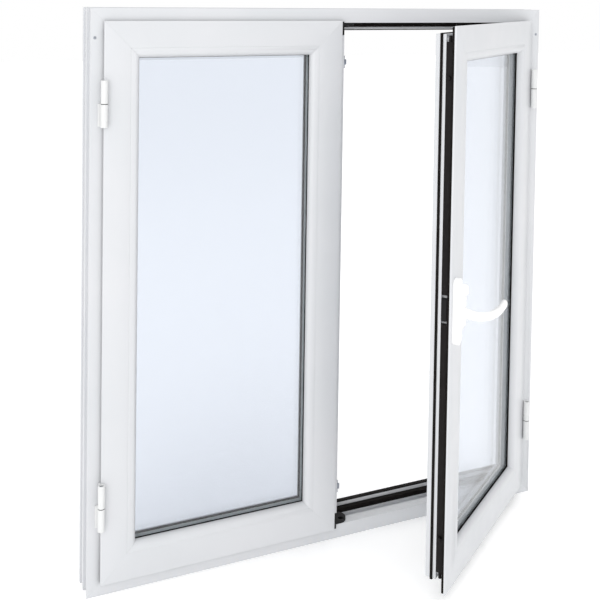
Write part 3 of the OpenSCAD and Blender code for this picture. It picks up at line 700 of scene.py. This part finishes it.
@dataclass
class MeetingHardware:
    """Astragal, its caps and keepers, the flush bolts and the drive rods."""

    shop: Workshop

    def build(self) -> None:
        """Builds the hardware's pieces in order."""
        self.shop.soften("astragal", 0.6, steps=2, pick=long_edge)
        self.shop.soften("astragal_gasket", 1.4, steps=4, pick=long_edge)
        self.shop.soften("astragal_end_caps", 0.5, steps=2, pick=long_edge)
        self.shop.soften("astragal_keepers", 0.5, steps=2)
        for end in ("upper", "lower"):
            self.shop.soften(f"{end}_flush_bolt", 0.6, steps=2)
            self.shop.soften(f"{end}_drive_rod", 0.6, steps=2)
        self.shop.soften("rod_guide", 0.3, steps=2)


# ---- handle -----------------------------------------------------------------------------


@dataclass
class Handle:
    """The cremone handle: a slim plate with a swelling boss, and a curved lever."""

    shop: Workshop
    swing: Swing
    plate_mm: float = 11.0
    plate_round_mm: float = 3.0
    boss_w_mm: float = 24.0
    boss_round_mm: float = 7.0
    boss_low_mm: float = -52.0
    boss_full_mm: float = -22.0
    boss_top_mm: float = 10.0
    block_long_mm: float = 20.0
    body_share: float = 0.8
    foot_share: float = 0.34
    slice_mm: float = 2.5
    grip_high_mm: float = 18.0
    grip_deep_mm: float = 14.5
    hub_mm: float = 21.0
    neck_share: float = 0.3
    steps_per_bend: int = 4
    bends_mm: tuple[tuple[float, float, float], ...] = (
        (0, -8, 0), (0, -16, 0), (-8, -44, 0), (-2, -60, 0), (17, -69.5, -1), (56, -70.5, -3.5),
        (90, -68.5, -3), (113, -66.5, -1), (122, -66, 0),
    )

    def build(self) -> None:
        """Builds the housing and the lever."""
        self.housing()
        self.lever()

    def stadium(
        self, mesh: bmesh.types.BMesh, width: float, low: float, high: float, deep: float,
        rounding: float,
    ) -> list[bmesh.types.BMVert]:
        """Raises a plate with round ends from the plane y = 0 towards -y and rounds its rim.

        Args:
            mesh: the bmesh that it goes into.
            width: width of the plate.
            low: z of its lower end.
            high: z of its upper end.
            deep: how far it stands out.
            rounding: how far its rim is rounded.

        Returns:
            The plate's vertices.
        """
        known = set(mesh.verts)
        disc = bmesh.ops.create_circle(mesh, cap_ends=True, segments=48, radius=width / 2,
                                       matrix=Matrix.Rotation(math.radians(90), 4, "X"))
        for vert in disc["verts"]:
            vert.co.z += high - width / 2 if vert.co.z > 0 else low + width / 2
        face = disc["verts"][0].link_faces[0]
        raised = bmesh.ops.extrude_face_region(mesh, geom=[face], use_keep_orig=True)
        top = [v for v in raised["geom"] if isinstance(v, bmesh.types.BMVert)]
        bmesh.ops.translate(mesh, vec=(0, -deep, 0), verts=top)
        rim = [e for e in mesh.edges if all(v in top for v in e.verts)]
        bmesh.ops.bevel(mesh, geom=rim, offset=rounding, offset_type="OFFSET", segments=8,
                        profile=0.5, affect="EDGES", clamp_overlap=True, material=-1)
        return [v for v in mesh.verts if v not in known]

    def housing(self) -> None:
        """Builds the plate on the sash and the boss that grows out of it."""
        low, high = self.swing.shut_box("handle_housing")
        half = (high.z - low.z) / 2
        deep = high.y - low.y
        mesh = bmesh.new()
        self.stadium(mesh, high.x - low.x, -half, half, self.plate_mm * MM,
                     self.plate_round_mm * MM)
        known = set(mesh.verts)
        top = half - self.boss_top_mm * MM
        self.stadium(mesh, self.boss_w_mm * MM, self.boss_low_mm * MM, top, deep,
                     self.boss_round_mm * MM)
        step = self.slice_mm * MM
        count = int(2 * half / step)
        for i in range(count):
            geom = [g for g in [*mesh.verts, *mesh.edges, *mesh.faces] if self.is_boss(g, known)]
            bmesh.ops.bisect_plane(mesh, geom=geom, plane_co=(0, 0, -half + (i + 0.5) * step),
                                   plane_no=(0, 0, 1))
        for vert in mesh.verts:
            if vert not in known:
                vert.co.y *= self.swell(vert.co.z / MM, half / MM)
        bmesh.ops.recalc_face_normals(mesh, faces=mesh.faces)
        middle = Vector(((low.x + high.x) / 2, high.y, (low.z + high.z) / 2))
        bmesh.ops.transform(mesh, matrix=self.swing.turn @ Matrix.Translation(middle),
                            verts=mesh.verts)
        self.shop.place(self.shop.finished_mesh("handle_body", mesh), "handle_housing")

    @staticmethod
    def is_boss(part: object, known: set) -> bool:
        """Whether a vertex, edge or face belongs to the boss and not to the plate."""
        if isinstance(part, bmesh.types.BMVert):
            return part not in known
        return all(v not in known for v in part.verts)

    def swell(self, z_mm: float, half_mm: float) -> float:
        """How much of its full depth the boss has at a height above the lever's axis."""
        foot = (z_mm - self.boss_low_mm) / (self.boss_full_mm - self.boss_low_mm)
        foot = min(max(foot, 0.0), 1.0)
        rise = foot * foot * (3 - 2 * foot)
        in_block = z_mm > half_mm - self.boss_top_mm - self.block_long_mm
        deep = self.foot_share + (1 - self.foot_share) * rise
        return deep * (1.0 if in_block else self.body_share)

    def lever(self) -> None:
        """Sweeps the lever: out from the boss, round a wide bend and along to a round tip."""
        body_low, body_high = self.swing.shut_box("handle_housing")
        axis = Vector(((body_low.x + body_high.x) / 2, body_high.y, (body_low.z + body_high.z) / 2))
        path = self.centre_line()
        mesh = bmesh.new()
        loops = []
        last = len(path) - 1
        for i, spot in enumerate(path):
            ahead = path[min(i + 1, last)] - path[max(i - 1, 0)]
            side = math.atan2(ahead.y, ahead.x)
            wide, thick = self.section(i / last, last - i)
            loop = bmesh.ops.create_circle(mesh, segments=24, radius=1.0)
            size = Matrix.Diagonal((thick, wide, 1, 1))
            stand = Matrix.Rotation(side, 4, "Z") @ Matrix.Rotation(math.radians(90), 4, "Y") \
                @ Matrix.Rotation(math.radians(90), 4, "Z")
            bmesh.ops.transform(mesh, matrix=Matrix.Translation(spot) @ stand @ size,
                                verts=loop["verts"])
            loops.append(sorted({e for v in loop["verts"] for e in v.link_edges},
                                key=lambda e: e.index))
        for first, second in zip(loops, loops[1:]):
            bmesh.ops.bridge_loops(mesh, edges=[*first, *second])
        ends = [e for e in mesh.edges if e.is_boundary]
        bmesh.ops.holes_fill(mesh, edges=ends, sides=0)
        bmesh.ops.recalc_face_normals(mesh, faces=mesh.faces)
        bmesh.ops.transform(mesh, matrix=self.swing.turn @ Matrix.Translation(axis),
                            verts=mesh.verts)
        piece = self.shop.finished_mesh("handle_lever_curved", mesh)
        rounder = piece.modifiers.new("rounding", "SUBSURF")
        rounder.levels = 2
        rounder.render_levels = 2
        self.shop.place(piece, "handle_lever")

    def centre_line(self) -> list[Vector]:
        """Runs a smooth curve through the lever's bends.

        Returns:
            Points along the lever's middle, from its axis on the sash face.
        """
        bends = [Vector(bend) * MM for bend in self.bends_mm]
        path = []
        for i in range(1, len(bends) - 2):
            before, here, there, after = bends[i - 1:i + 3]
            for step in range(self.steps_per_bend):
                t = step / self.steps_per_bend
                path.append(0.5 * (2 * here + (there - before) * t
                                   + (2 * before - 5 * here + 4 * there - after) * t * t
                                   + (3 * here - before - 3 * there + after) * t ** 3))
        return [*path, bends[-2]]

    def section(self, share: float, left: int) -> tuple[float, float]:
        """Half height and half depth of the lever's section at a station.

        Args:
            share: how far along the lever it is, from 0 to 1.
            left: how many stations follow it.

        Returns:
            Half its size along z, and half its size across the path.
        """
        blend = min(share / self.neck_share, 1.0)
        blend = blend * blend * (3 - 2 * blend)
        high = self.hub_mm + (self.grip_high_mm - self.hub_mm) * blend
        deep = self.hub_mm + (self.grip_deep_mm - self.hub_mm) * blend
        tip = {0: 0.42, 1: 0.88}.get(left, 1.0)
        return high / 2 * MM * tip, deep / 2 * MM * tip


# ---- studio ---------------------------------------------------------------------------------


@dataclass
class Studio:
    """White surroundings, soft lights and the camera."""

    eye: tuple[float, float, float] = (-1.007389, -1.943045, 1.242505)
    yaw: float = 24.055
    pitch: float = -2.054
    roll: float = 0.803
    lens: float = 58.30
    shift: tuple[float, float] = (0.0427, -0.4606)
    surround: float = 1.0

    def build(self) -> None:
        """Builds the floor, the light and the camera."""
        self.floor()
        self.surroundings()
        self.lamp("key", (-2.6, -3.2, 2.0), (-0.1, 0.0, 0.6), size=2.6, watts=48)
        self.lamp("top", (0.2, -1.0, 4.0), (0.0, -0.1, 0.4), size=3.0, watts=12)
        self.camera()

    def floor(self) -> None:
        """Lays a wide, flat sheet of paper under the window."""
        mesh = bmesh.new()
        bmesh.ops.create_grid(mesh, x_segments=8, y_segments=8, size=14)
        paper = Workshop.finished_mesh("studio_paper", mesh)
        paper.data.materials.append(StudioPaper("studio_paper", "#FFFFFF", 0.9).make())

    def surroundings(self) -> None:
        """Sets an even white world."""
        world = bpy.data.worlds.new("white_surround")
        world.use_nodes = True
        world.node_tree.nodes.clear()
        glow = add_node(world.node_tree, "ShaderNodeBackground",
                        {"Color": (1, 1, 1, 1), "Strength": self.surround})
        add_node(world.node_tree, "ShaderNodeOutputWorld", links={"Surface": glow.outputs[0]})
        scene = bpy.context.scene
        scene.world = world
        scene.view_settings.view_transform = "Standard"
        scene.view_settings.look = "None"

    @staticmethod
    def lamp(
        name: str, place: tuple[float, float, float], aim: tuple[float, float, float],
        size: float, watts: float,
    ) -> None:
        """Hangs one square soft light.

        Args:
            name: the light's name.
            place: where it hangs.
            aim: the point that it faces.
            size: its side.
            watts: its power.
        """
        data = bpy.data.lights.new(name, "AREA")
        data.shape = "SQUARE"
        data.size = size
        data.energy = watts
        light = bpy.data.objects.new(name, data)
        light.location = place
        light.rotation_euler = (Vector(aim) - Vector(place)).to_track_quat("-Z", "Y").to_euler()
        bpy.context.scene.collection.objects.link(light)

    def camera(self) -> None:
        """Stands the camera in the room, to the left of the window, nearly level."""
        data = bpy.data.cameras.new("view")
        data.lens = self.lens
        data.sensor_width = 36
        data.shift_x, data.shift_y = self.shift
        data.clip_end = 60
        view = bpy.data.objects.new("view", data)
        turned = Matrix.Rotation(math.radians(-self.yaw), 4, "Z") \
            @ Matrix.Rotation(math.radians(90 + self.pitch), 4, "X") \
            @ Matrix.Rotation(math.radians(self.roll), 4, "Z")
        view.matrix_world = Matrix.Translation(self.eye) @ turned
        bpy.context.scene.collection.objects.link(view)
        bpy.context.scene.camera = view


def main() -> None:
    """Builds the looks in order."""
    logging.basicConfig(level=logging.INFO, format="%(message)s")
    shop = Workshop()
    shop.mix_finishes()
    shop.dress_nodes()
    left = Swing("left_sash_swing")
    right = Swing("right_sash_swing")
    OuterFrame(shop).build()
    Sash(shop, "left", left).build()
    Sash(shop, "right", right).build()
    MeetingHardware(shop).build()
    Handle(shop, right).build()
    Studio().build()


if __name__ == "__main__":
    main()
